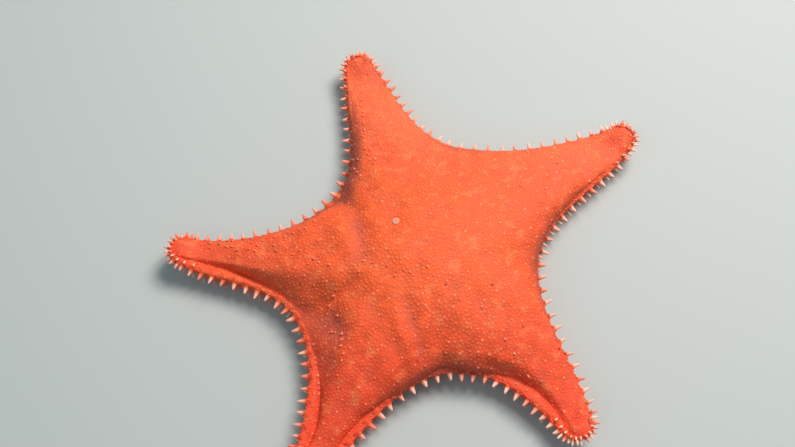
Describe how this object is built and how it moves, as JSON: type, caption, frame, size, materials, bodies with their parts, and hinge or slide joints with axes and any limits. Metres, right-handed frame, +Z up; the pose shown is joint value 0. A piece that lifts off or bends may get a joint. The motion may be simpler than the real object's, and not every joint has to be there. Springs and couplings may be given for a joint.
{
  "type": "cushion star",
  "caption": "Life-size still model of a cushion star: inflated disc, short tapering rays curled up at the tips, spined marginal plates all round, and furrows and a mouth underneath.",
  "frame": {"origin": "on the floor, under the middle of the box round the whole starfish, spines included", "axes": "+Z up from the floor through the back of the disc; +X along the starfish's longest spread, towards the ray at the right; +Y towards the ray at the back"},
  "size_m": [0.2816, 0.2716, 0.04],
  "materials": {
    "flesh": "firm, grainy orange skin over plates, slightly moist",
    "sieve_plate": "chalky cream plate with fine grooves",
    "lip": "soft, moist, dark red"
  },
  "bodies": {
    "root": {"disc": "flesh", "ray_right": "flesh", "ray_back": "flesh", "ray_left": "flesh", "ray_front_left": "flesh", "ray_front_right": "flesh", "madreporite": "sieve_plate", "mouth": "lip"}
  },
  "joints": []
}
